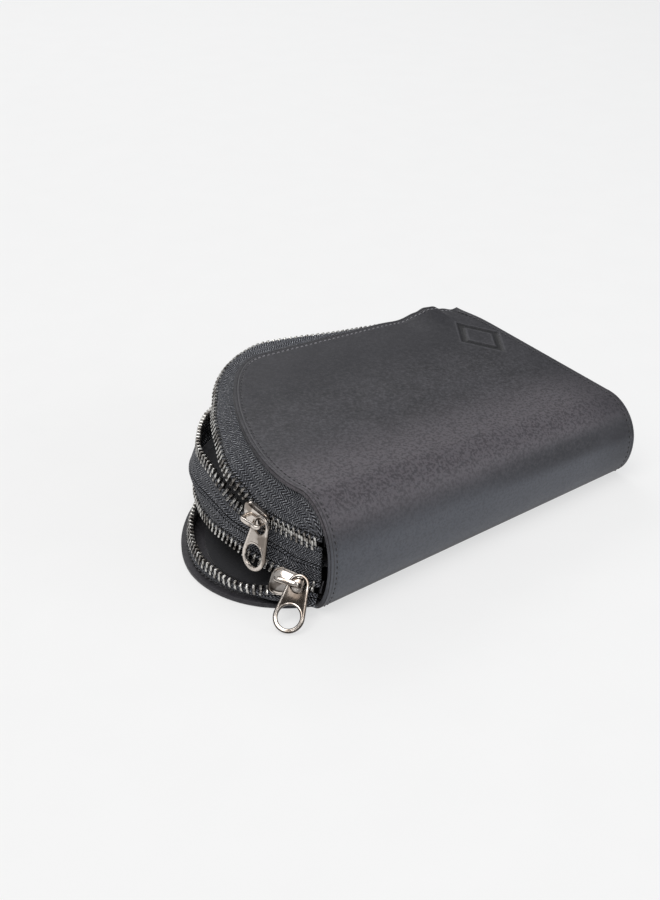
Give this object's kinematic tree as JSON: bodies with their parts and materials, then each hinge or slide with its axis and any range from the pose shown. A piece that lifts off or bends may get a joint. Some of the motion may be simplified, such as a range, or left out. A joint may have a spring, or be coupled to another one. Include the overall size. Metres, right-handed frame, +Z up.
{
  "type": "multi glasses organizer",
  "caption": "Folded leather eyewear case with two curved zips, a woven band between them and an inner divider that makes separate compartments.",
  "frame": {"origin": "point on the underside of the bottom panel, midway along the folded spine", "axes": "+X along the spine from the zip mouth to the closed far end, +Y from the folded spine to the open back edge, +Z up out of the top panel"},
  "size_m": [0.1796, 0.1185, 0.0503],
  "materials": {
    "leather": "smooth satin charcoal black",
    "lining_cloth": "matte dark cloth",
    "woven_tape": "herringbone weave, matte",
    "zip_metal": "bright zip teeth",
    "nickel": "polished nickel"
  },
  "bodies": {
    "case": {"outer_cover": "leather", "lining": "lining_cloth", "divider_panel": "lining_cloth", "end_gusset_upper": "lining_cloth", "end_gusset_lower": "lining_cloth", "zip_tape_a_upper": "woven_tape", "zip_tape_a_lower": "woven_tape", "zip_tape_b_upper": "woven_tape", "zip_tape_b_lower": "woven_tape", "band_seam": "woven_tape", "teeth_a_upper": "zip_metal", "teeth_a_lower": "zip_metal", "teeth_b_upper": "zip_metal", "teeth_b_lower": "zip_metal", "zip_spine_stop_a": "zip_metal", "zip_spine_stop_b": "zip_metal", "zip_end_stop_a_upper": "zip_metal", "zip_end_stop_a_lower": "zip_metal", "zip_end_stop_b_upper": "zip_metal", "zip_end_stop_b_lower": "zip_metal"},
    "upper_slider": {"slider_a": "nickel", "slider_crown_a": "nickel"},
    "upper_pull": {"pull_a": "nickel"},
    "lower_slider": {"slider_b": "nickel", "slider_crown_b": "nickel"},
    "lower_pull": {"pull_b": "nickel"}
  },
  "joints": [
    {"name": "upper_slider_travel", "type": "slide", "parent": "case", "child": "upper_slider", "axis": [-0.0875, 0.9948, 0.052], "range_m": [0, 0.009]},
    {"name": "upper_pull_swing", "type": "hinge", "parent": "upper_slider", "child": "upper_pull", "pos_m": [-0.08719, -0.02448, 0.02842], "axis": [-0.961, -0.098, 0.2585], "range_deg": [-35, 85]},
    {"name": "lower_slider_travel", "type": "slide", "parent": "case", "child": "lower_slider", "axis": [-0.4852, 0.8732, 0.0454], "range_m": [0, 0.0035]},
    {"name": "lower_pull_swing", "type": "hinge", "parent": "lower_slider", "child": "lower_pull", "pos_m": [-0.08531, -0.04312, 0.01291], "axis": [-0.6261, -0.3832, 0.6791], "range_deg": [-35, 60]}
  ]
}
